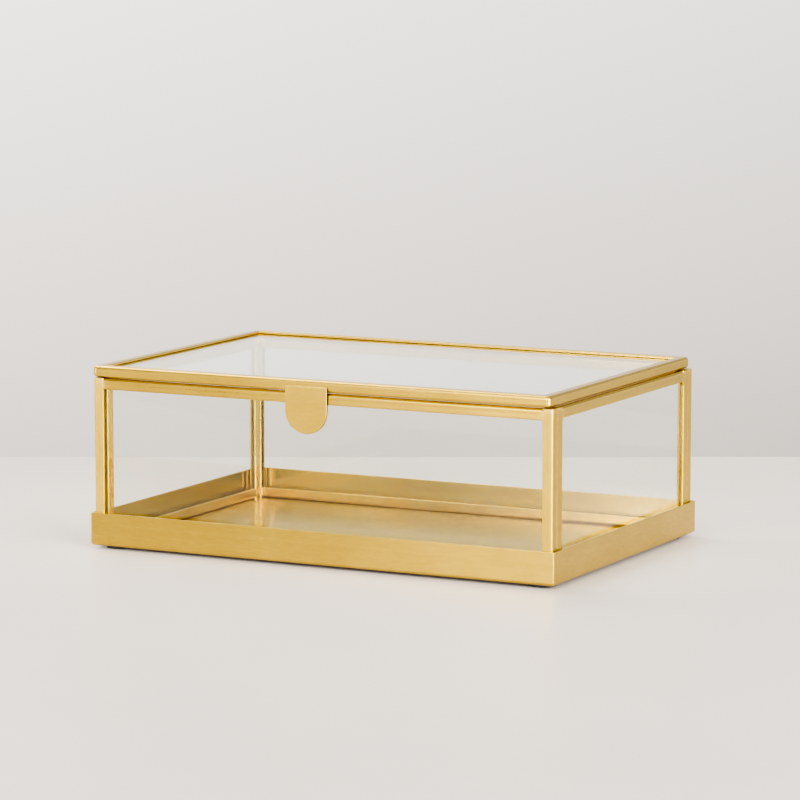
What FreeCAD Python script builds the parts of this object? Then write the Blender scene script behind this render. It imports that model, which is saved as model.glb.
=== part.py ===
import FreeCAD, Part
import os
import re
import Sketcher

# A brass and glass keepsake box: a folded brass tray on rubber feet, four panes
# framed in brass U channel standing in it, and a mitred glass lid on two stop hinges.
# X runs left to right, the front faces -Y, and Z = 0 is the surface the feet stand on.
# All lengths are in millimetres and all angles in degrees.

Vector = FreeCAD.Vector
doc = FreeCAD.newDocument("jewelry_box")

# ---------------------------------------------------------------- dimensions

DIMENSIONS = (
    ("tray_width", 230.0, "tray, outside, left to right"),
    ("tray_depth", 154.5, "tray, outside, front to back"),
    ("tray_height", 14.9, "tray wall, outside, from its underside"),
    ("sheet_thickness", 1.0, "brass sheet of the tray"),
    ("tray_bend_radius", 1.5, "outside radius of the fold along the tray's bottom edges"),
    ("tray_corner_radius", 0.8, "filed upright corners of the tray"),
    ("tray_rim_radius", 0.2, "filed edges of the tray's rim"),
    ("foot_radius", 6.0, "rubber foot"),
    ("foot_height", 1.6, "rubber foot, and so the tray's clearance"),
    ("foot_edge_radius", 0.4, "rounded lower edge of a foot"),
    ("foot_inset", 9.8, "foot centre from each of the tray's two nearest faces"),
    ("tray_clearance", 0.5, "gap between the glass case and the tray's wall"),
    ("case_height", 75.0, "glass case, from the tray's floor to the top of its frames"),
    ("channel_width", 5.0, "U channel, across the glass"),
    ("channel_depth", 5.0, "U channel, from its web to the tips of its flanges"),
    ("channel_wall", 0.9, "U channel, thickness"),
    ("channel_web_radius", 1.4, "rounded outer edges of the channel's web"),
    ("channel_tip_radius", 0.4, "rounded outer edges of the channel's flanges"),
    ("glass_thickness", 3.0, "all five panes"),
    ("glass_play", 0.3, "gap between a pane's edge and the channel's web"),
    ("lid_width", 226.4, "lid, left to right"),
    ("lid_length", 151.0, "lid, front to back"),
    ("lid_gap", 0.4, "closed lid above the case"),
    ("lid_corner_radius", 2.2, "filed upright corners of the lid"),
    ("lid_shift_x", -0.9, "hand-set lid: its centre from the case's centre, along X"),
    ("lid_shift_y", -0.45, "hand-set lid: its centre from the case's centre, along Y"),
    ("tab_width", 20.7, "pull tab"),
    ("tab_height", 20.8, "pull tab, to the bottom of its round end"),
    ("tab_thickness", 1.0, "pull tab"),
    ("tab_edge_radius", 0.3, "rounded front edge of the tab"),
    ("tab_below_top", 2.8, "tab's upper edge below the lid's top"),
    ("tab_shift_x", -3.9, "tab's centre from the lid's centre"),
    ("hinge_spread", 70.0, "each hinge's centre from the case's centre"),
    ("leaf_width", 20.0, "hinge leaf, along the pin"),
    ("leaf_thickness", 0.6, "hinge leaf"),
    ("leaf_margin", 0.4, "case leaf below the top of the rail, lid leaf below the lid's top"),
    ("knuckle_radius", 1.6, "rolled hinge knuckle, outside"),
    ("knuckle_length", 7.6, "middle knuckle, on the lid's leaf"),
    ("knuckle_gap", 0.3, "end play between two knuckles"),
    ("pin_radius", 0.8, "hinge pin, tight in the case's knuckles"),
    ("pin_clearance", 0.05, "radial clearance of the lid's knuckle on the pin"),
    ("pin_overhang", 0.4, "pin beyond the leaf at each end"),
    ("tail_half", 0.4, "half the thickness of the stop tail"),
    ("stop_angle", 104.0, "lid angle at which the tails meet the case's leaves"),
    ("stop_clearance", 0.1, "what is left between tail and leaf at that angle"),
    ("notch_depth", 1.5, "case leaf's notch for the lid's knuckle, below the pin's axis"),
)

sheet = doc.addObject("Spreadsheet::Sheet", "Dimensions")
for row, (alias, number, meaning) in enumerate(DIMENSIONS, start=1):
    sheet.set(f"A{row}", meaning)
    sheet.set(f"B{row}", str(number))
    sheet.setAlias(f"B{row}", alias)
doc.recompute()

# Relations between the driving dimensions, written out in full wherever they are used.
RELATIONS = {
    "floor_z": "(foot_height + sheet_thickness)",
    "case_top_z": "(floor_z + case_height)",
    "case_half_x": "(tray_width / 2 - sheet_thickness - tray_clearance)",
    "case_half_y": "(tray_depth / 2 - sheet_thickness - tray_clearance)",
    "side_half_y": "(case_half_y - channel_width)",
    "case_mid_z": "(floor_z + case_height / 2)",
    "pane_height": "(case_height - 2 * channel_wall - glass_play)",
    "lid_bottom_z": "(case_top_z + lid_gap)",
    "lid_top_z": "(lid_bottom_z + channel_width)",
    "lid_mid_z": "(lid_bottom_z + channel_width / 2)",
    "lid_front_y": "(lid_shift_y - lid_length / 2)",
    "lid_back_y": "(lid_shift_y + lid_length / 2)",
    "pin_y": "(case_half_y + knuckle_radius)",
    "pin_z": "(case_top_z + lid_gap / 2)",
    "outer_knuckle": "((leaf_width - knuckle_length) / 2 - knuckle_gap)",
    "lid_leaf_bottom_z": "(pin_z + knuckle_radius + knuckle_gap)",
    "tail_length": (
        "((knuckle_radius - leaf_thickness - stop_clearance"
        " - tail_half * sin(stop_angle * 1deg)) / -cos(stop_angle * 1deg))"
    ),
}
ALIASES = {alias for alias, number, meaning in DIMENSIONS}


def spell_out(text):
    """Replace relation names by their expressions and aliases by sheet references."""
    while any(word in RELATIONS for word in re.findall(r"[a-z_]+", text)):
        text = re.sub(r"[a-z_]+", lambda found: RELATIONS.get(found[0], found[0]), text)
    return re.sub(
        r"[a-z_]+",
        lambda found: f"Dimensions.{found[0]}" if found[0] in ALIASES else found[0],
        text,
    )


def bind(item, **properties):
    """Bind properties to expressions; a dot in a path is written as two underscores."""
    for name, text in properties.items():
        item.setExpression(name.replace("__", "."), spell_out(text))


def place(item, x="0", y="0", z="0", rotation=None):
    """Turn an item, then bind its position."""
    item.Placement = FreeCAD.Placement(Vector(), rotation or FreeCAD.Rotation())
    bind(item, Placement__Base__x=x, Placement__Base__y=y, Placement__Base__z=z)


# ------------------------------------------------------------ modelling helpers

sub_parts = []


def sub_part(item, label):
    """Name a finished piece and put it on the list of pieces to write."""
    item.Label = label
    sub_parts.append(item)
    return item


def new_body(label):
    body = doc.addObject("PartDesign::Body", label)
    return sub_part(body, label)


def new_sketch(body, role):
    """An empty sketch on one of the body's own origin planes."""
    sketch = body.newObject("Sketcher::SketchObject", f"{body.Name}_sketch")
    plane = next(item for item in body.Origin.OriginFeatures if item.Role == role)
    sketch.AttachmentSupport = [(plane, "")]
    sketch.MapMode = "FlatFace"
    return sketch


def pin_down(sketch, edge, vertex, x, y):
    """Bind a vertex's two coordinates to expressions."""
    for kind, text in (("DistanceX", x), ("DistanceY", y)):
        number = sketch.addConstraint(Sketcher.Constraint(kind, -1, 1, edge, vertex, 1.0))
        sketch.setExpression(f"Constraints[{number}]", spell_out(text))


def polygon(sketch, corners):
    """Closed outline of straight sides, each corner bound to a pair of expressions."""
    count = len(corners)
    first = sketch.GeometryCount
    turn = FreeCAD.Rotation(Vector(0, 0, 1), 360.0 / count)
    start = Vector(10, 3 * first, 0)
    for _ in corners:
        end = turn.multVec(start)
        sketch.addGeometry(Part.LineSegment(start, end))
        start = end
    for index, (x, y) in enumerate(corners):
        following = first + (index + 1) % count
        sketch.addConstraint(Sketcher.Constraint("Coincident", first + index, 2, following, 1))
        pin_down(sketch, first + index, 1, x, y)


def rectangle(sketch, half_x, half_y):
    corners = ((-1, -1), (1, -1), (1, 1), (-1, 1))
    polygon(sketch, [(f"{i} * {half_x}", f"{j} * {half_y}") for i, j in corners])


def pad(body, sketch, length, symmetric=False):
    feature = body.newObject("PartDesign::Pad", f"{body.Name}_pad")
    feature.Profile = sketch
    feature.SideType = "Symmetric" if symmetric else "One side"
    bind(feature, Length=length)
    doc.recompute()
    return feature


def pocket_through(body, sketch):
    """Cut a sketch right through the body, both ways."""
    feature = body.newObject("PartDesign::Pocket", f"{body.Name}_pocket")
    feature.Profile = sketch
    feature.SideType = "Symmetric"
    feature.Type = "ThroughAll"
    doc.recompute()
    return feature


def round_edges(body, feature, radius, wanted):
    """Fillet those edges of a feature whose middle point and direction pass the test."""
    names = []
    for number, edge in enumerate(feature.Shape.Edges, start=1):
        if edge.Degenerated:
            continue
        halfway = (edge.FirstParameter + edge.LastParameter) / 2
        if wanted(edge.valueAt(halfway), edge.tangentAt(halfway), feature.Shape.BoundBox):
            names.append(f"Edge{number}")
    fillet = body.newObject("PartDesign::Fillet", f"{body.Name}_fillet")
    fillet.Base = (feature, names)
    bind(fillet, Radius=radius)
    doc.recompute()
    return fillet


def near(first, second):
    return abs(first - second) < 0.01


def at_bottom(middle, along, box):
    return near(middle.z, box.ZMin)


def upright(middle, along, box):
    return abs(along.z) > 0.99


def primitive(kind, x, y, z, rotation=None, **sizes):
    """A Part primitive with bound sizes, placed by its corner or by its axis."""
    item = doc.addObject(f"Part::{kind}", kind)
    bind(item, **sizes)
    place(item, x, y, z, rotation)
    return item


# --------------------------------------------------------------- tray and feet


def make_tray():
    """One sheet folded up into a tray, its bends along the four bottom edges."""
    body = new_body("base_tray")
    outline = new_sketch(body, "XY_Plane")
    rectangle(outline, "tray_width / 2", "tray_depth / 2")
    block = pad(body, outline, "tray_height")
    folded = round_edges(body, block, "tray_bend_radius", at_bottom)
    folded = round_edges(body, folded, "tray_corner_radius", upright)

    hollow = new_sketch(body, "XY_Plane")
    bind(hollow, AttachmentOffset__Base__z="sheet_thickness")
    rectangle(hollow, "(tray_width / 2 - sheet_thickness)", "(tray_depth / 2 - sheet_thickness)")
    inside = body.newObject("PartDesign::Pocket", "tray_inside")
    inside.Profile = hollow
    inside.Reversed = True
    bind(inside, Length="tray_height")
    doc.recompute()
    if inside.Shape.Volume > 0.5 * folded.Shape.Volume:
        raise RuntimeError("the tray's pocket has cut nothing")

    def at_floor(middle, along, box):
        return near(middle.z - box.ZMin, sheet.sheet_thickness) and abs(along.z) < 0.01

    def at_rim(middle, along, box):
        return near(middle.z, box.ZMax)

    lined = round_edges(body, inside, "tray_bend_radius - sheet_thickness", at_floor)
    round_edges(body, lined, "tray_rim_radius", at_rim)
    place(body, z="foot_height")


def make_feet():
    """Four round rubber feet under the tray's corners."""
    for end, rearward in (("front", -1), ("back", 1)):
        for side, right in (("left", -1), ("right", 1)):
            body = new_body(f"foot_{end}_{side}")
            outline = new_sketch(body, "XY_Plane")
            outline.addGeometry(Part.Circle(Vector(), Vector(0, 0, 1), 1.0))
            outline.addConstraint(Sketcher.Constraint("Coincident", 0, 3, -1, 1))
            size = outline.addConstraint(Sketcher.Constraint("Radius", 0, 1.0))
            outline.setExpression(f"Constraints[{size}]", spell_out("foot_radius"))
            disc = pad(body, outline, "foot_height")
            round_edges(body, disc, "foot_edge_radius", at_bottom)
            place(
                body,
                x=f"{right} * (tray_width / 2 - foot_inset)",
                y=f"{rearward} * (tray_depth / 2 - foot_inset)",
            )


# ------------------------------------------------------------- channel and glass

CHANNEL_OUTLINE = (
    ("-channel_width / 2", "0"),
    ("channel_width / 2", "0"),
    ("channel_width / 2", "channel_depth"),
    ("channel_width / 2 - channel_wall", "channel_depth"),
    ("channel_width / 2 - channel_wall", "channel_wall"),
    ("channel_wall - channel_width / 2", "channel_wall"),
    ("channel_wall - channel_width / 2", "channel_depth"),
    ("-channel_width / 2", "channel_depth"),
)


def make_channel(label, length, along, opening, mitred=False, **position):
    """A length of U channel, placed by the middle of its web's outer face.

    The channel runs along one direction and its mouth faces the opening direction.
    Mitred ends are cut at 45 degrees, so the web keeps the full length, and the web
    of a mitred length stays sharp: the lid is rounded as a whole.
    """
    body = doc.addObject("PartDesign::Body", label)
    outline = new_sketch(body, "YZ_Plane")
    polygon(outline, CHANNEL_OUTLINE)
    stock = pad(body, outline, length, symmetric=True)

    if mitred:
        ends = new_sketch(body, "XZ_Plane")
        for sign in (1, -1):
            corner = f"{sign} * ({length}) / 2"
            inner = f"{sign} * (({length}) / 2 - channel_depth)"
            polygon(ends, ((corner, "0"), (corner, "channel_depth"), (inner, "channel_depth")))
        stock = pocket_through(body, ends)

    def on_web(middle, along, box):
        return near(middle.z, box.ZMin) and near(abs(middle.y), box.YMax) and abs(along.x) > 0.9

    def on_tips(middle, along, box):
        return near(middle.z, box.ZMax) and near(abs(middle.y), box.YMax) and abs(along.x) > 0.9

    rounded = stock if mitred else round_edges(body, stock, "channel_web_radius", on_web)
    round_edges(body, rounded, "channel_tip_radius", on_tips)
    rotation = FreeCAD.Rotation(along, opening.cross(along), opening, "XZY")
    place(body, rotation=rotation, **position)
    return body


def frame_length(label, *shape, **position):
    """A square-cut length of channel that is a piece of a pane's frame."""
    sub_part(make_channel(label, *shape, **position), label)


LEFT, RIGHT = Vector(-1, 0, 0), Vector(1, 0, 0)
FRONT, BACK = Vector(0, -1, 0), Vector(0, 1, 0)
DOWN, UP = Vector(0, 0, -1), Vector(0, 0, 1)


def make_pane(label, length, depth, height, x, y, z):
    """A flat pane placed by the centre of its underside."""
    pane = primitive(
        "Box",
        f"{x} - ({length}) / 2",
        f"{y} - ({depth}) / 2",
        z,
        Length=length,
        Width=depth,
        Height=height,
    )
    sub_part(pane, label)


def make_front_and_back():
    """The two long panes, each in a frame as wide as the case."""
    upright_length = "case_height"
    rail_length = "2 * (case_half_x - channel_depth)"
    for name, sign in (("front", -1), ("back", 1)):
        y = f"{sign} * (case_half_y - channel_width / 2)"
        for side, away, inward in (("left", -1, RIGHT), ("right", 1, LEFT)):
            frame_length(
                f"{name}_frame_{side}_upright",
                upright_length,
                UP,
                inward,
                x=f"{away} * case_half_x",
                y=y,
                z="case_mid_z",
            )
        frame_length(f"{name}_frame_bottom_rail", rail_length, RIGHT, UP, y=y, z="floor_z")
        frame_length(f"{name}_frame_top_rail", rail_length, RIGHT, DOWN, y=y, z="case_top_z")
        make_pane(
            f"{name}_glass",
            "2 * (case_half_x - channel_wall - glass_play)",
            "glass_thickness",
            "pane_height",
            "0",
            y,
            "floor_z + channel_wall",
        )


def make_sides():
    """The two short panes, each in a frame fitted between the front and the back."""
    upright_length = "case_height"
    rail_length = "2 * (side_half_y - channel_depth)"
    for name, sign in (("left", -1), ("right", 1)):
        x = f"{sign} * (case_half_x - channel_width / 2)"
        for end, away, inward in (("front", -1, BACK), ("back", 1, FRONT)):
            frame_length(
                f"{name}_frame_{end}_upright",
                upright_length,
                UP,
                inward,
                x=x,
                y=f"{away} * side_half_y",
                z="case_mid_z",
            )
        frame_length(f"{name}_frame_bottom_rail", rail_length, BACK, UP, x=x, z="floor_z")
        frame_length(f"{name}_frame_top_rail", rail_length, BACK, DOWN, x=x, z="case_top_z")
        make_pane(
            f"{name}_glass",
            "glass_thickness",
            "2 * (side_half_y - channel_wall - glass_play)",
            "pane_height",
            x,
            "0",
            "floor_z + channel_wall",
        )


# ------------------------------------------------------------------------- lid


def make_lid_block():
    """The lid's outside as one block with filed corners, which trims its four rails."""
    body = doc.addObject("PartDesign::Body", "lid_block")
    outline = new_sketch(body, "XY_Plane")
    rectangle(outline, "lid_width / 2", "lid_length / 2")
    block = pad(body, outline, "channel_width", symmetric=True)

    def at_outside(middle, along, box):
        return near(abs(middle.z), box.ZMax)

    filed = round_edges(body, block, "lid_corner_radius", upright)
    round_edges(body, filed, "channel_web_radius", at_outside)
    place(body, x="lid_shift_x", y="lid_shift_y", z="lid_mid_z")
    return body


def lid_rail(name, block, length, along, opening, **position):
    """A mitred length of channel with the lid's rounded outside."""
    label = f"lid_{name}_rail"
    rail = doc.addObject("Part::Common", label)
    rail.Base = make_channel(
        f"{label}_stock", length, along, opening, mitred=True, z="lid_mid_z", **position
    )
    rail.Tool = block
    sub_part(rail, label)


def make_lid():
    """Four mitred rails around the lid's pane."""
    block = make_lid_block()
    for name, away, inward in (("front", "lid_front_y", BACK), ("back", "lid_back_y", FRONT)):
        lid_rail(name, block, "lid_width", RIGHT, inward, x="lid_shift_x", y=away)
    for name, sign, inward in (("left", -1, RIGHT), ("right", 1, LEFT)):
        away = f"lid_shift_x + {sign} * lid_width / 2"
        lid_rail(name, block, "lid_length", BACK, inward, x=away, y="lid_shift_y")
    make_pane(
        "lid_glass",
        "lid_width - 2 * (channel_wall + glass_play)",
        "lid_length - 2 * (channel_wall + glass_play)",
        "glass_thickness",
        "lid_shift_x",
        "lid_shift_y",
        "lid_bottom_z + channel_wall",
    )


def make_tab():
    """Flat brass tab with a round lower end, soldered to the lid's front rail."""
    body = new_body("lid_pull_tab")
    outline = new_sketch(body, "XZ_Plane")
    rough = Vector(10, 0, 0)
    outline.addGeometry(Part.LineSegment(-rough, Vector(-10, 10, 0)))
    outline.addGeometry(Part.LineSegment(Vector(-10, 10, 0), Vector(10, 10, 0)))
    outline.addGeometry(Part.LineSegment(Vector(10, 10, 0), rough))
    outline.addGeometry(Part.Arc(-rough, Vector(0, -10, 0), rough))
    for first, first_end, second, second_end in ((0, 2, 1, 1), (1, 2, 2, 1)):
        outline.addConstraint(
            Sketcher.Constraint("Coincident", first, first_end, second, second_end)
        )
    round_end = 3
    outline.addConstraint(Sketcher.Constraint("Coincident", round_end, 1, 0, 1))
    outline.addConstraint(Sketcher.Constraint("Coincident", round_end, 2, 2, 2))
    outline.addConstraint(Sketcher.Constraint("Coincident", round_end, 3, -1, 1))
    pin_down(outline, 0, 1, "-tab_width / 2", "0")
    pin_down(outline, 1, 1, "-tab_width / 2", "tab_height - tab_width / 2")
    pin_down(outline, 2, 1, "tab_width / 2", "tab_height - tab_width / 2")
    outline.addConstraint(Sketcher.Constraint("PointOnObject", 2, 2, -1))
    plate = pad(body, outline, "tab_thickness")

    def on_front(middle, along, box):
        return near(middle.y, box.YMin)

    round_edges(body, plate, "tab_edge_radius", on_front)
    place(
        body,
        x="lid_shift_x + tab_shift_x",
        y="lid_front_y",
        z="lid_top_z - tab_below_top - tab_height + tab_width / 2",
    )


# --------------------------------------------------------------------- hinges

ALONG_X = FreeCAD.Rotation(UP, RIGHT)


def make_rod(x, length, radius):
    """A cylinder on the hinge axis, from x to the right."""
    return primitive("Cylinder", x, "pin_y", "pin_z", ALONG_X, Radius=radius, Height=length)


def combine(solids, bore):
    """Join solids into one and drill it along the hinge axis."""
    joined = doc.addObject("Part::MultiFuse", "joined")
    joined.Shapes = solids
    joined.Refine = True
    drilled = doc.addObject("Part::Cut", "drilled")
    drilled.Base = joined
    drilled.Tool = bore
    return drilled


def make_case_leaf(label, centre):
    """Leaf soldered to the case's back rail, with the two outer knuckles."""
    left = f"{centre} - leaf_width / 2"
    bottom = "(case_top_z - channel_depth + leaf_margin)"
    lengths_and_tops = (
        (left, "leaf_width", "pin_z - notch_depth"),
        (left, "outer_knuckle", "pin_z"),
        (f"{centre} + leaf_width / 2 - outer_knuckle", "outer_knuckle", "pin_z"),
    )
    solids = [
        primitive(
            "Box",
            start,
            "case_half_y",
            bottom,
            Length=length,
            Width="leaf_thickness",
            Height=f"{top} - {bottom}",
        )
        for start, length, top in lengths_and_tops
    ]
    for start, length, _ in lengths_and_tops[1:]:
        solids.append(make_rod(start, length, "knuckle_radius"))
    bore = make_rod(left, "leaf_width", "pin_radius")
    sub_part(combine(solids, bore), label)


def make_lid_leaf(label, centre):
    """Leaf soldered to the lid's back rail, with the middle knuckle and its stop tail."""
    start = f"{centre} - knuckle_length / 2"
    solids = [
        primitive(
            "Box",
            f"{centre} - leaf_width / 2",
            "lid_back_y",
            "lid_leaf_bottom_z",
            Length="leaf_width",
            Width="leaf_thickness",
            Height="lid_top_z - leaf_margin - lid_leaf_bottom_z",
        ),
        primitive(
            "Box",
            start,
            "lid_back_y",
            "pin_z + lid_gap",
            Length="knuckle_length",
            Width="pin_y - lid_back_y",
            Height="lid_leaf_bottom_z + leaf_thickness - pin_z - lid_gap",
        ),
        make_rod(start, "knuckle_length", "knuckle_radius"),
        primitive(
            "Box",
            start,
            "pin_y",
            "pin_z - tail_half",
            Length="knuckle_length",
            Width="tail_length",
            Height="2 * tail_half",
        ),
    ]
    bore = make_rod(start, "knuckle_length", "pin_radius + pin_clearance")
    sub_part(combine(solids, bore), label)


def make_hinges():
    for side, sign in (("left", -1), ("right", 1)):
        centre = f"{sign} * hinge_spread"
        make_case_leaf(f"case_hinge_leaf_{side}", centre)
        make_lid_leaf(f"lid_hinge_leaf_{side}", centre)
        pin_start = f"{centre} - leaf_width / 2 - pin_overhang"
        pin = make_rod(pin_start, "leaf_width + 2 * pin_overhang", "pin_radius")
        sub_part(pin, f"hinge_pin_{side}")


# ------------------------------------------------------------ build and write


def check_document():
    """Stop on any object that failed to compute, or any piece without a sound shape."""
    for item in doc.Objects:
        if {"Invalid", "Error"} & set(item.State):
            raise RuntimeError(f"{item.Label} failed: {item.State}")
    for item in sub_parts:
        shape = item.Shape
        if shape.isNull() or not shape.isValid() or not shape.Solids:
            raise RuntimeError(f"{item.Label} has no sound shape")


make_tray()
make_feet()
make_front_and_back()
make_sides()
make_lid()
make_tab()
make_hinges()
doc.recompute()
check_document()

os.makedirs("parts", exist_ok=True)
for item in sub_parts:
    item.Shape.exportStep(f"parts/{item.Label}.step")
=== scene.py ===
import math
import random

import bpy
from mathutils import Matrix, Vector
from mathutils import noise as field


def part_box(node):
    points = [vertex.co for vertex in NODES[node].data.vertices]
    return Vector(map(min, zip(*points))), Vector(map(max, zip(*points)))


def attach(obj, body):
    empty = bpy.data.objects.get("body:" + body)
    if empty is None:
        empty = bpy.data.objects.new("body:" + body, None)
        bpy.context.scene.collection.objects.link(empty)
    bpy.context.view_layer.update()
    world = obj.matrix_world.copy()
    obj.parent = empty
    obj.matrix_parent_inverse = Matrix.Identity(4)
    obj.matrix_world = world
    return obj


# A brass and glass keepsake box with a hinged lid. The frame's CAD nodes keep their shapes
# and get their finishes here; the solder that joins the brass channels, the pull tab and the
# hinges is modelled here. Metres, with the front facing -Y.

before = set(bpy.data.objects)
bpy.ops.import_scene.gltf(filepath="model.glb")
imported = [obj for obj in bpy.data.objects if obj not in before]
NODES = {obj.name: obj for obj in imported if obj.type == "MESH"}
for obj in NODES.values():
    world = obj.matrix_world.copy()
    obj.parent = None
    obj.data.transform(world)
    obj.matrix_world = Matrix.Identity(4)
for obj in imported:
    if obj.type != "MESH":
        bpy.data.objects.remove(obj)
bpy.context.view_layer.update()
MM = 0.001

# --------------------------------------------------------------------- camera


def make_camera():
    """A long lens, looking from the right of the front and a little above."""
    yaw, pitch = math.radians(26.997), math.radians(7.883)
    camera = bpy.data.objects.new("camera", bpy.data.cameras.new("camera"))
    camera.location = (0.82495, -1.61490, 0.31636)
    camera.rotation_euler = (math.pi / 2 - pitch, 0, yaw)
    camera.data.sensor_width = 36
    camera.data.lens = 181.94
    camera.data.clip_start, camera.data.clip_end = 0.05, 50
    bpy.context.scene.collection.objects.link(camera)
    bpy.context.scene.camera = camera
    return camera


# ------------------------------------------------------------- node shorthand


class Graph:
    """A material's or world's node tree with short calls for making and linking nodes."""

    def __init__(self, owner):
        owner.use_nodes = True
        self.tree = owner.node_tree
        self.tree.nodes.clear()

    def node(self, kind, settings=None, **inputs):
        """A node; an input is named, or numbered as i0, i1 and so on."""
        made = self.tree.nodes.new("ShaderNode" + kind)
        for name, value in (settings or {}).items():
            setattr(made, name, value)
        for name, value in inputs.items():
            numbered = name[0] == "i" and name[1:].isdigit()
            self.feed(made, int(name[1:]) if numbered else name.replace("_", " "), value)
        return made

    def feed(self, made, name, value):
        """Link a socket to an input, or set the input to a plain value."""
        if isinstance(value, bpy.types.NodeSocket):
            self.tree.links.new(value, made.inputs[name])
        else:
            made.inputs[name].default_value = value

    def math(self, operation, first, second=0.0):
        return self.node("Math", {"operation": operation}, i0=first, i1=second).outputs[0]

    def vector(self, operation, first, second):
        made = self.node("VectorMath", {"operation": operation}, i0=first, i1=second)
        return made.outputs["Value" if operation == "DOT_PRODUCT" else 0]

    def span(self, value, low, high, to_low, to_high):
        """Map a value from one range to another, kept within it."""
        numbers = dict(From_Min=low, From_Max=high, To_Min=to_low, To_Max=to_high)
        return self.node("MapRange", None, Value=value, **numbers).outputs["Result"]

    def noise(self, vector, scale, detail=3.0, roughness=0.5):
        settings = dict(Vector=vector, Scale=scale, Detail=detail, Roughness=roughness)
        return self.node("TexNoise", None, **settings).outputs["Fac"]

    def swing(self, noise, to_low, to_high):
        """Map a noise's usual range, 0.3 to 0.7, to another."""
        return self.span(noise, 0.3, 0.7, to_low, to_high)

    def mix(self, factor, first, second, mode="MIX"):
        """Mix two colours."""
        made = self.node("Mix", {"data_type": "RGBA", "blend_type": mode})
        for number, value in ((0, factor), (6, first), (7, second)):
            self.feed(made, number, value)
        return made.outputs[2]

    def choose(self, factor, first, second):
        """Mix two vectors."""
        made = self.node("Mix", {"data_type": "VECTOR"})
        for number, value in ((0, factor), (4, first), (5, second)):
            self.feed(made, number, value)
        return made.outputs[1]

    def grey(self, value):
        """A colour of equal channels."""
        return self.node("CombineColor", None, Red=value, Green=value, Blue=value).outputs[0]

    def position(self):
        """A place on the piece, in metres."""
        return self.node("TexCoord").outputs["Object"]

    def parts(self, vector):
        """A vector's X, Y and Z."""
        return self.node("SeparateXYZ", None, Vector=vector).outputs

    def finish(self, shader, kind="OutputMaterial"):
        self.tree.links.new(shader, self.node(kind).inputs["Surface"])


def new_material(name):
    material = bpy.data.materials.new(name)
    return material, Graph(material)


# ------------------------------------------------------------------ materials

BRASS = (0.575, 0.402, 0.070, 1)
BRASS_WARM = (0.515, 0.350, 0.057, 1)
SOLDER = (0.65, 0.48, 0.13, 1)
# Painted shade: the dark brown that the tray's downward faces are given, darkening the gap under the
# box.
UNDERSIDE_PAINTED_SHADE = (0.22, 0.15, 0.055, 1)
GRAIN = {"x": (1, 0, 0), "y": (0, 1, 0), "z": (0, 0, 1)}

# Strokes a metre that the brushing leaves: along it and across it.
FINE_SCRATCHES = (26.0, 5200.0)
BROAD_BANDS = (5.0, 830.0)
RUBBED_PATCHES = (230.0, 1300.0)


def grain_direction(graph, grain, facing_way):
    """The way the metal is brushed; "tray" is along a wall and lengthways on the floor."""
    if grain != "tray":
        return GRAIN[grain]
    sideways = graph.math("ABSOLUTE", graph.parts(facing_way)["X"])
    on_end_wall = graph.math("GREATER_THAN", sideways, 0.6)
    return graph.choose(on_end_wall, GRAIN["x"], GRAIN["y"])


def brushed_noise(graph, position, along, strokes, detail=4.0):
    """Noise drawn out along the brushing."""
    rate_along, rate_across = strokes
    spread = rate_along - rate_across
    rates = graph.vector("MULTIPLY", along, (spread, spread, spread))
    rates = graph.vector("ADD", rates, (rate_across, rate_across, rate_across))
    return graph.noise(graph.vector("MULTIPLY", position, rates), 1.0, detail, 0.58)


def facing_inward(graph, position, facing_way):
    """One on faces that look towards the middle of the box."""
    from_middle = graph.vector("MULTIPLY", position, (1, 1, 0))
    outward = graph.vector("DOT_PRODUCT", from_middle, facing_way)
    return graph.math("LESS_THAN", outward, -20 * MM)


def soldered(graph, position, places):
    """One near soldered joints, fading out raggedly over a few millimetres.

    A place is an axis, the joint's distance from the origin along it, and a reach.
    """
    part = graph.parts(position)
    stray = 1.4 * MM
    ragged = graph.swing(graph.noise(position, 420.0, 4.0, 0.6), -stray, stray)
    masks = []
    for axis, distance, reach in places:
        from_joint = graph.math("SUBTRACT", graph.math("ABSOLUTE", part[axis]), distance)
        off = graph.math("ADD", graph.math("ABSOLUTE", from_joint), ragged)
        masks.append(graph.span(off, 0.2 * reach, reach, 1.0, 0.0))
    mask = masks[0]
    for other in masks[1:]:
        mask = graph.math("MAXIMUM", mask, other)
    return mask


def mitred(graph, position, lid):
    """One along the lid's four mitres, which are as far from one edge as from the other."""
    low, high = lid
    middle, half = (low + high) / 2, (high - low) / 2
    part = graph.parts(position)
    inset = []
    for index, axis in enumerate("XY"):
        off = graph.math("ABSOLUTE", graph.math("SUBTRACT", part[axis], middle[index]))
        inset.append(graph.math("SUBTRACT", half[index], off))
    beside = graph.math("ABSOLUTE", graph.math("SUBTRACT", *inset))
    stray = 0.25 * MM
    ragged = graph.swing(graph.noise(position, 900.0, 3.0), -stray, stray)
    return graph.span(graph.math("ADD", beside, ragged), 0.15 * MM, 0.6 * MM, 1.0, 0.0)


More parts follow.
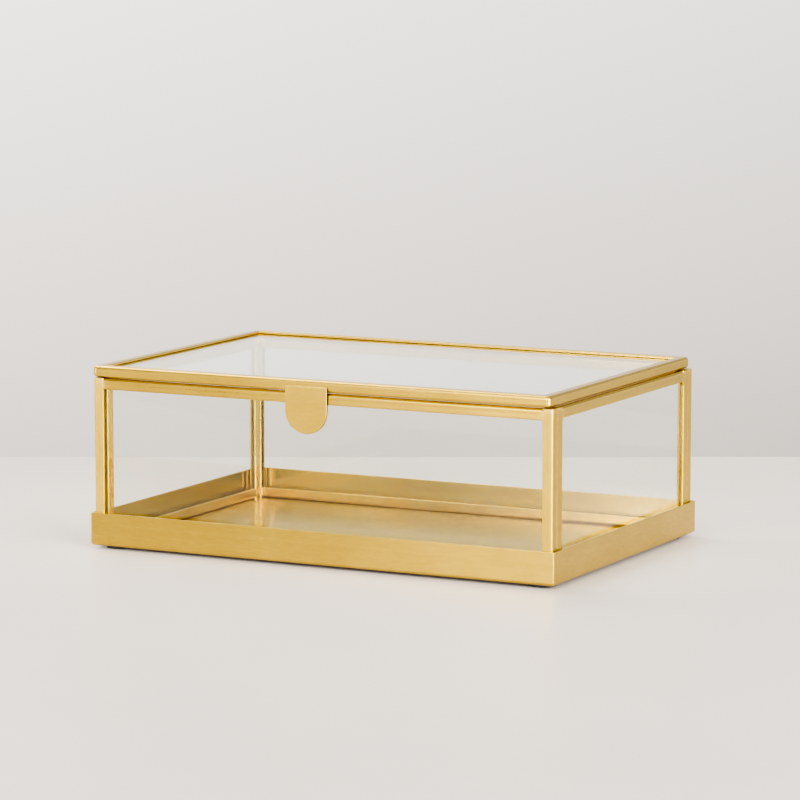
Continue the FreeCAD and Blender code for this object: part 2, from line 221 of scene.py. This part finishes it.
def brass(name, grain, roughness, anisotropic, waviness=1.0, lines=1.0, inside=None, joints=None):
    """Satin brass brushed along the grain: x, y or z, or "tray" for along a tray's walls.

    Waviness and lines scale the hand-worked waves and the brushing. Inside is for faces
    that look inward or up: what their roughness and what their colour are multiplied by.
    The colour factor is painted light, which lightens and re-tints those faces.
    Joints makes a mask of the places that solder has turned paler.
    """
    material, graph = new_material(name)
    position = graph.position()
    facing_way = graph.node("TexCoord").outputs["Normal"]
    normal = graph.node("NewGeometry").outputs["Normal"]
    along = grain_direction(graph, grain, facing_way)
    turned = graph.node(
        "VectorTransform",
        {"vector_type": "VECTOR", "convert_from": "OBJECT", "convert_to": "WORLD"},
        Vector=along,
    ).outputs[0]
    across = graph.vector("CROSS_PRODUCT", normal, turned)

    fine = brushed_noise(graph, position, along, FINE_SCRATCHES)
    bands = brushed_noise(graph, position, along, BROAD_BANDS, 3.0)
    rubs = brushed_noise(graph, position, along, RUBBED_PATCHES)
    clouds = graph.noise(position, 26.0, 4.0, 0.55)
    waves = graph.noise(position, 60.0, 2.0, 0.4)

    tone = graph.mix(graph.span(clouds, 0.35, 0.68, 0.0, 1.0), BRASS, BRASS_WARM)
    streak = graph.grey(graph.swing(bands, 1.0 - 0.08 * lines, 1.0 + 0.04 * lines))
    rubbed = graph.grey(graph.swing(rubs, 0.93, 1.07))
    colour = graph.mix(1.0, graph.mix(1.0, tone, streak, "MULTIPLY"), rubbed, "MULTIPLY")
    gloss = graph.math("ADD", graph.swing(bands, -0.03 * lines, 0.04 * lines), roughness)
    rough = graph.math("ADD", gloss, graph.swing(rubs, 0.035, -0.035))
    upward = graph.parts(facing_way)["Z"]
    if inside:
        polish, painted_light_tint = inside
        faces_middle = facing_inward(graph, position, facing_way)
        on_top = graph.span(upward, 0.4, 0.6, 0.0, 1.0)
        inward = graph.math("MAXIMUM", faces_middle, on_top)
        rough = graph.math("MULTIPLY", rough, graph.span(inward, 0.0, 1.0, 1.0, polish))
        # Painted light: faces that look inward or up have their colour multiplied by a tint that
        # lightens and re-tints them.
        colour = graph.mix(inward, colour, graph.mix(1.0, colour, painted_light_tint, "MULTIPLY"))
    # Painted shade: faces of the tray that look down are mixed towards a dark brown.
    if grain == "tray":
        below = graph.span(upward, -0.85, -0.97, 0.0, 1.0)
        colour = graph.mix(below, colour, UNDERSIDE_PAINTED_SHADE)
        rough = graph.math("MAXIMUM", rough, graph.math("MULTIPLY", below, 0.5))
    if joints:
        mask = joints(graph, position)
        colour = graph.mix(graph.math("MULTIPLY", mask, 0.6), colour, SOLDER)
        rough = graph.math("ADD", rough, graph.math("MULTIPLY", mask, 0.05))

    hand = graph.node("Bump", None, Height=waves, Strength=0.5 * waviness, Distance=0.12 * MM)
    scratch = graph.node("Bump", None, Height=fine, Strength=0.14 * lines, Distance=0.02 * MM)
    graph.feed(scratch, "Normal", hand.outputs[0])

    shader = graph.node("BsdfPrincipled", None, Metallic=1.0, Roughness=rough, Tangent=across)
    graph.feed(shader, "Base Color", colour)
    graph.feed(shader, "Normal", scratch.outputs[0])
    graph.feed(shader, "Anisotropic", anisotropic)
    graph.feed(shader, "Coat Weight", 0.15)
    graph.feed(shader, "Coat Roughness", 0.30)
    graph.finish(shader.outputs[0])
    return material


def solder(name):
    """Solder filed flush and plated over: paler than the brass, hand-worked and uneven."""
    material, graph = new_material(name)
    position = graph.position()
    filed = graph.noise(graph.vector("MULTIPLY", position, (900.0, 900.0, 260.0)), 1.0, 4.0, 0.6)
    patches = graph.span(graph.noise(position, 380.0, 4.0, 0.6), 0.35, 0.62, 0.0, 1.0)
    shader = graph.node("BsdfPrincipled", None, Metallic=1.0)
    graph.feed(shader, "Base Color", graph.mix(patches, BRASS, SOLDER))
    graph.feed(shader, "Roughness", graph.swing(filed, 0.24, 0.42))
    bump = graph.node("Bump", None, Height=filed, Strength=0.3, Distance=0.06 * MM)
    graph.feed(shader, "Normal", bump.outputs[0])
    graph.finish(shader.outputs[0])
    return material


def glass(name):
    """Clear float glass that lets lamp light through, with faint smears left by wiping."""
    material, graph = new_material(name)
    wiped = graph.vector("MULTIPLY", graph.position(), (30.0, 30.0, 9.0))
    smear = graph.noise(wiped, 1.0, 3.0, 0.6)
    shader = graph.node("BsdfPrincipled", None, Roughness=graph.span(smear, 0.5, 0.75, 0.0, 0.02))
    graph.feed(shader, "Base Color", (0.975, 0.985, 0.965, 1))
    graph.feed(shader, "Transmission Weight", 1.0)
    graph.feed(shader, "IOR", 1.42)
    clear = graph.node("BsdfTransparent", None, Color=(0.95, 0.96, 0.95, 1))
    to_lamp = graph.node("LightPath").outputs["Is Shadow Ray"]
    mixed = graph.node("MixShader", None, i0=to_lamp, i1=shader.outputs[0], i2=clear.outputs[0])
    graph.finish(mixed.outputs[0])
    return material


def rubber(name):
    """Matt black rubber with a fine moulded grain and a little dust."""
    material, graph = new_material(name)
    grain = graph.noise(graph.position(), 2600.0, 3.0)
    dust = graph.span(graph.noise(graph.position(), 320.0, 4.0), 0.5, 0.75, 0.0, 1.0)
    shader = graph.node("BsdfPrincipled", None, Roughness=graph.swing(grain, 0.58, 0.78))
    colour = graph.mix(dust, (0.014, 0.013, 0.013, 1), (0.04, 0.038, 0.036, 1))
    graph.feed(shader, "Base Color", colour)
    bump = graph.node("Bump", None, Height=grain, Strength=0.25, Distance=0.06 * MM)
    graph.feed(shader, "Normal", bump.outputs[0])
    graph.finish(shader.outputs[0])
    return material


def paint(node, material):
    """Give a CAD node one material in place of its own."""
    mesh = NODES[node].data
    mesh.materials.clear()
    mesh.materials.append(material)


def longest_axis(node):
    """The axis that a channel runs along."""
    low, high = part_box(node)
    size = high - low
    return "xyz"[max(range(3), key=lambda axis: size[axis])]


def finish_nodes():
    """Every CAD node's finish; a channel is brushed along its length."""
    front_rail, side_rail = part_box("front_frame_top_rail")[1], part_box("right_frame_top_rail")[1]
    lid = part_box("lid_front_rail")[0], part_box("lid_back_rail")[1]
    lid[0].x, lid[1].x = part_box("lid_left_rail")[0].x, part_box("lid_right_rail")[1].x

    def rail_ends(graph, position):
        reach = 2.2 * MM
        return soldered(graph, position, (("X", front_rail.x, reach), ("Y", side_rail.y, reach)))

    def post_tops(graph, position):
        return soldered(graph, position, (("Z", front_rail.z, 3.2 * MM),))

    def mitres(graph, position):
        return mitred(graph, position, lid)

    def rail(name, grain, painted_light_tint):
        return brass(name, grain, 0.30, 0.6, inside=(0.6, painted_light_tint), joints=rail_ends)

    # In each inside pair the first number scales roughness; the tint is painted light on faces that
    # look inward or up.
    post_inside, lid_inside = (0.7, (1.08, 1.12, 1.1, 1)), (1.0, (1.25, 1.25, 1.5, 1))
    case_channels = {
        "x": rail("brass_rail_x", "x", (1.34, 1.42, 1.15, 1)),
        "y": rail("brass_rail_y", "y", (1.04, 1.07, 0.95, 1)),
        "z": brass("brass_post", "z", 0.37, 0.2, inside=post_inside, joints=post_tops),
    }
    lid_channels = {
        axis: brass(f"brass_lid_{axis}", axis, 0.31, 0.6, inside=lid_inside, joints=mitres)
        for axis in "xy"
    }
    # The tray's tint is painted light on its inward and upward faces.
    tray_inside = (1.0, (1.08, 1.13, 0.82, 1))
    sheet = brass("brass_sheet", "tray", 0.22, 0.7, waviness=0.6, lines=0.65, inside=tray_inside)
    tab = brass("brass_tab", "x", 0.32, 0.3, lines=0.5)
    hinge = brass("brass_hinge", "x", 0.24, 0.3)
    clear, black = glass("clear_glass"), rubber("black_rubber")
    for name in NODES:
        channels = lid_channels if name.startswith("lid") else case_channels
        if name.endswith("glass"):
            material = clear
        elif name.startswith("foot"):
            material = black
        elif "hinge" in name:
            material = hinge
        elif name == "lid_pull_tab":
            material = tab
        elif name == "base_tray":
            material = sheet
        else:
            material = channels[longest_axis(name)]
        paint(name, material)


# --------------------------------------------------------------------- solder

CHANNEL_WALL = 0.9 * MM
draw = random.Random(7)


def uneven(place, scale, amount):
    """A smooth random offset that depends only on the place."""
    return amount * field.noise(Vector(place) * scale)


def loft(name, sections, material, body):
    """A closed piece through cross-sections of the same number of points."""
    count = len(sections[0])
    points = [tuple(point) for section in sections for point in section]
    faces = [tuple(range(count))[::-1], tuple(range(len(points) - count, len(points)))]
    for row in range(len(sections) - 1):
        for index in range(count):
            following = (index + 1) % count
            first, second = row * count, (row + 1) * count
            faces.append((first + index, first + following, second + following, second + index))
    mesh = bpy.data.meshes.new(name)
    mesh.from_pydata(points, [], faces)
    mesh.validate()
    mesh.shade_smooth()
    mesh.set_sharp_from_angle(angle=math.radians(50))
    mesh.materials.append(material)
    piece = bpy.data.objects.new(name, mesh)
    bpy.context.scene.collection.objects.link(piece)
    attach(piece, body)


def fill_groove(name, face_x, seam_y, low_z, high_z, material):
    """Solder run down the groove between a corner's two uprights and filed nearly flush."""
    side = math.copysign(1, face_x)
    half, sunk, hollow, buried, step = 1.05 * MM, 0.06 * MM, 0.12 * MM, 0.9 * MM, 1.5 * MM
    wander, across, inner = 0.05 * MM, 6, 0.3
    rows = round((high_z - low_z) / step)
    sections = []
    for row in range(rows + 1):
        z = low_z + (high_z - low_z) * row / rows
        section = []
        for column in range(across + 1):
            t = 2 * column / across - 1
            y = seam_y + t * half
            bulge = 1 - t * t
            depth = sunk + hollow * bulge + uneven((face_x, y, z), 400, wander) * bulge
            section.append((face_x - side * depth, y, z))
        for t in (inner, -inner):
            section.append((face_x - side * buried, seam_y + t * half, z))
        sections.append(section)
    loft(name, sections, material, "case")


def fill_corner(name, corner, along, across, size, material):
    """A hollow fillet of solder in a frame's upper inner corner, as thick as a channel's wall.

    The corner is where the rail's and the upright's edges meet, on the wall's outer face;
    along points away from it along the rail, and across into the wall.
    """
    arc, layers, edge, buried = 7, 4, 0.22 * MM, 0.35 * MM
    down = Vector((0, 0, -1))
    sections = []
    for layer in range(layers + 1):
        v = layer / layers
        radius = size + edge * (2 * v - 1) ** 4
        inward = across * (CHANNEL_WALL * v)
        section = [corner - (along + down) * buried + inward]
        for step in range(arc + 1):
            turn = math.pi / 2 * step / arc
            reach = along * math.cos(turn) + down * math.sin(turn)
            section.append(corner + (along + down) * size - reach * radius + inward)
        sections.append(section)
    loft(name, sections, material, "case")


def bead(name, start, end, aside, outward, size, material, body, slot):
    """A low uneven bead of solder along a seam, thinner towards its ends.

    Aside and outward are directions across the seam; size is the bead's width and height.
    """
    width, height = size
    length = (end - start).length
    rows, across, buried, inner = max(6, round(length / (0.8 * MM))), 6, 0.25 * MM, 0.3
    sections = []
    for row in range(rows + 1):
        t = row / rows
        taper = max(0.12, math.sin(math.pi * min(max(t, 0.04), 0.96))) ** 0.35
        middle = start.lerp(end, t)
        swell = 1 + uneven(middle, 500, 0.5)
        section = []
        for column in range(across + 1):
            angle = math.pi * column / across
            reach = aside * (0.5 * width * swell * taper * math.cos(angle))
            rise = outward * (height * taper * math.sin(angle) ** 1.3)
            section.append(middle + reach + rise)
        section.append(middle - aside * (inner * width) - outward * buried)
        section.append(middle + aside * (inner * width) - outward * buried)
        sections.append(section)
    loft(name, sections, material, body)


def cap_corner(name, low, high, top, material):
    """Solder run over the open ends of a corner's two uprights, slightly domed."""
    rows, columns, thick, crown, sunk, wander = 12, 8, 0.5 * MM, 0.13 * MM, 0.02 * MM, 0.05 * MM
    sections = []
    for row in range(rows + 1):
        v = row / rows
        narrow = 1 - 0.16 * (2 * v - 1) ** 6
        section = []
        for column in range(columns + 1):
            u = column / columns
            x = (low.x + high.x) / 2 + (u - 0.5) * (high.x - low.x) * narrow
            y = low.y + (high.y - low.y) * v
            dome = (1 - (2 * u - 1) ** 4) * (1 - (2 * v - 1) ** 6)
            z = top + dome * (crown + uneven((x, y, top), 450, wander)) - sunk
            section.append((x, y, z))
        section.append((section[columns][0], section[columns][1], top - thick))
        section.append((section[0][0], section[0][1], top - thick))
        sections.append(section)
    loft(name, sections, material, "case")


def solder_case(material):
    """Grooves, caps, fillets and seams of the case's four corners."""
    below_rim, below_top, sunk = 6 * MM, 0.1 * MM, 0.05 * MM
    cap_inset = Vector((0.35 * MM, 0.35 * MM, 0))
    seam_foot, seam_head, seam_height = 0.3 * MM, 0.9 * MM, 0.06 * MM
    for end, sy in (("front", -1), ("back", 1)):
        for side, sx in (("left", -1), ("right", 1)):
            post_low, post_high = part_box(f"{end}_frame_{side}_upright")
            inner_low, inner_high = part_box(f"{side}_frame_{end}_upright")
            top, tray_rim = post_high.z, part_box("base_tray")[1].z
            seam_y = post_high.y if sy < 0 else post_low.y
            face_x = post_high.x if sx > 0 else post_low.x
            foot, head = tray_rim - below_rim, top - below_top
            fill_groove(f"solder_groove_{end}_{side}", face_x, seam_y, foot, head, material)

            low = Vector((post_low.x, min(post_low.y, inner_low.y), 0)) + cap_inset
            high = Vector((post_high.x, max(post_high.y, inner_high.y), 0)) - cap_inset
            cap_corner(f"solder_cap_{end}_{side}", low, high, top, material)

            rail_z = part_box(f"{end}_frame_top_rail")[0].z
            edge_x = post_low.x if sx > 0 else post_high.x
            face_y = post_low.y if sy < 0 else post_high.y
            corner = Vector((edge_x, face_y - sy * sunk, rail_z))
            inward_x, inward_y = Vector((-sx, 0, 0)), Vector((0, -sy, 0))
            size = draw.uniform(0.5, 0.9) * MM
            fill_corner(f"solder_fillet_{end}_{side}", corner, inward_x, inward_y, size, material)

            rail_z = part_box(f"{side}_frame_top_rail")[0].z
            edge_y = inner_high.y if sy < 0 else inner_low.y
            corner = Vector((face_x - sx * sunk, edge_y, rail_z))
            size = draw.uniform(1.5, 2.2) * MM
            fill_corner(f"solder_fillet_{side}_{end}", corner, inward_y, inward_x, size, material)

            for label, x, y, aside, outward in (
                (f"{end}_{side}", edge_x, face_y, Vector((1, 0, 0)), Vector((0, sy, 0))),
                (f"{side}_{end}", face_x, edge_y, Vector((0, 1, 0)), Vector((sx, 0, 0))),
            ):
                size = draw.uniform(0.9, 1.5) * MM, seam_height
                ends = Vector((x, y, rail_z + seam_foot)), Vector((x, y, top - seam_head))
                bead(f"solder_seam_{label}", *ends, aside, outward, size, material,
                     "case", "brass_channel")


def solder_along_edge(name, node, edge_z, face_y, sy, inset, size, material, body, slot):
    """A bead along a node's level edge, on the face that it is soldered to."""
    low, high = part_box(node)
    ends = Vector((low.x + inset, face_y, edge_z)), Vector((high.x - inset, face_y, edge_z))
    bead(name, *ends, Vector((0, 0, 1)), Vector((0, sy, 0)), size, material, body, slot)


def solder_tab_and_hinges(material):
    """Beads above the pull tab and under the case's hinge leaves."""
    lid_face, case_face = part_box("lid_front_rail")[0].y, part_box("back_frame_top_rail")[1].y
    tab_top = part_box("lid_pull_tab")[1].z
    solder_along_edge("solder_tab_above", "lid_pull_tab", tab_top, lid_face, -1, 0.4 * MM,
                      (0.9 * MM, 0.4 * MM), material, "lid", "brass_tab")
    for side in ("left", "right"):
        leaf = f"case_hinge_leaf_{side}"
        leaf_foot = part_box(leaf)[0].z
        solder_along_edge(f"solder_hinge_case_{side}", leaf, leaf_foot, case_face, 1, 0.3 * MM,
                          (0.9 * MM, 0.35 * MM), material, "case", "brass_hinge")


# ------------------------------------------------------------ floor and light


def floor_material():
    """A pale satin surface with painted shade: darker in front of the box, as a falloff of light."""
    material, graph = new_material("pale_floor")
    position = graph.position()
    mottle = graph.swing(graph.noise(position, 9.0, 4.0), 0.0, 1.0)
    tone = graph.mix(mottle, (0.665, 0.618, 0.570, 1), (0.695, 0.648, 0.599, 1))
    ahead = graph.vector("DOT_PRODUCT", position, (0.45, -0.89, 0.0))
    # Painted shade: the floor's colour darkens towards the front, standing in for less light falling
    # there.
    painted_falloff = graph.grey(graph.span(ahead, -0.1, 0.6, 1.0, 0.62))
    shader = graph.node("BsdfPrincipled", None, Roughness=0.38)
    graph.feed(shader, "Base Color", graph.mix(1.0, tone, painted_falloff, "MULTIPLY"))
    graph.feed(shader, "Specular IOR Level", 0.3)
    graph.finish(shader.outputs[0])
    return material


def make_floor(camera):
    """A pale floor whose far edge lies square to the view, where the wall begins."""
    away = Vector((-math.sin(camera.rotation_euler.z), math.cos(camera.rotation_euler.z), 0))
    aside = Vector((away.y, -away.x, 0))
    to_edge, near_side, half_width = 2.070, 4.0, 5.0
    far = Vector((camera.location.x, camera.location.y, 0)) + to_edge * away
    near = far - near_side * away
    corners = [far - half_width * aside, far + half_width * aside]
    corners += [near + half_width * aside, near - half_width * aside]
    mesh = bpy.data.meshes.new("floor")
    mesh.from_pydata([tuple(corner) for corner in corners], [], [(3, 2, 1, 0)])
    mesh.materials.append(floor_material())
    floor = bpy.data.objects.new("floor", mesh)
    bpy.context.scene.collection.objects.link(floor)


def make_world():
    """A pale wall all round, dimmer overhead and to the right, and a dim warm room in front."""
    room_way, right_way = (-0.42, -0.90, -0.1), (0.891, 0.454, 0.0)
    wall_foot = (-0.17, 0.0)
    world = bpy.data.worlds.new("studio")
    bpy.context.scene.world = world
    graph = Graph(world)
    direction = graph.node("TexCoord").outputs["Generated"]
    height = graph.parts(direction)["Z"]

    def towards(way, low, high, to_low, to_high):
        """Map how far a direction turns to one way."""
        return graph.span(graph.vector("DOT_PRODUCT", direction, way), low, high, to_low, to_high)

    above_floor = graph.span(height, -0.20, -0.02, 0.0, 1.0)
    room = graph.math("MULTIPLY", towards(room_way, 0.1, 0.8, 0.0, 1.0), above_floor)
    level = graph.span(height, *wall_foot, 0.80, 1.60)
    for shade in (
        graph.span(height, 0.08, 0.28, 1.0, 0.42),
        towards(right_way, -0.12, 0.12, 1.12, 0.84),
        graph.span(room, 0.0, 1.0, 1.0, 0.35),
    ):
        level = graph.math("MULTIPLY", level, shade)
    coolness = graph.span(height, *wall_foot, 0.0, 1.0)
    tone = graph.mix(coolness, (1.0, 0.905, 0.815, 1), (1.0, 0.965, 0.91, 1))
    tone = graph.mix(room, tone, (1.0, 0.82, 0.64, 1))
    graph.finish(graph.node("Background", None, Color=tone, Strength=level).outputs[0], "OutputWorld")


def softbox(name, place, size, radiance, colour=(1.0, 0.98, 0.96)):
    """An area light of one radiance, aimed at the box's middle and hidden from the camera."""
    lamp = bpy.data.lights.new(name, "AREA")
    lamp.shape = "RECTANGLE"
    lamp.size, lamp.size_y = size
    area = size[0] * size[1]
    lamp.energy = radiance * math.pi * area
    lamp.color = colour
    item = bpy.data.objects.new(name, lamp)
    item.location = place
    box_middle = Vector((0, 0, 40 * MM))
    towards_box = box_middle - Vector(place)
    item.rotation_euler = towards_box.to_track_quat("-Z", "Y").to_euler()
    item.visible_camera = False
    bpy.context.scene.collection.objects.link(item)


def make_lights():
    """Two windows at the sides, a broad light in front and a soft one overhead."""
    softbox("overhead", (-1.1, 0.35, 1.45), (1.2, 1.2), 5.0, (1.0, 0.95, 0.90))
    softbox("right_window", (1.41, -0.84, 0.45), (1.1, 0.8), 22.0)
    softbox("left_window", (-1.23, -1.03, 0.22), (0.4, 0.4), 14.0)
    softbox("front", (0.0, -1.40, 0.55), (1.24, 0.8), 9.0)


# ----------------------------------------------------------------------- build

camera = make_camera()
finish_nodes()
solder_metal = solder("solder")
solder_case(solder_metal)
solder_tab_and_hinges(solder_metal)
make_floor(camera)
make_world()
make_lights()
bpy.context.scene.view_settings.view_transform = "AgX"
bpy.context.scene.view_settings.look = "AgX - High Contrast"
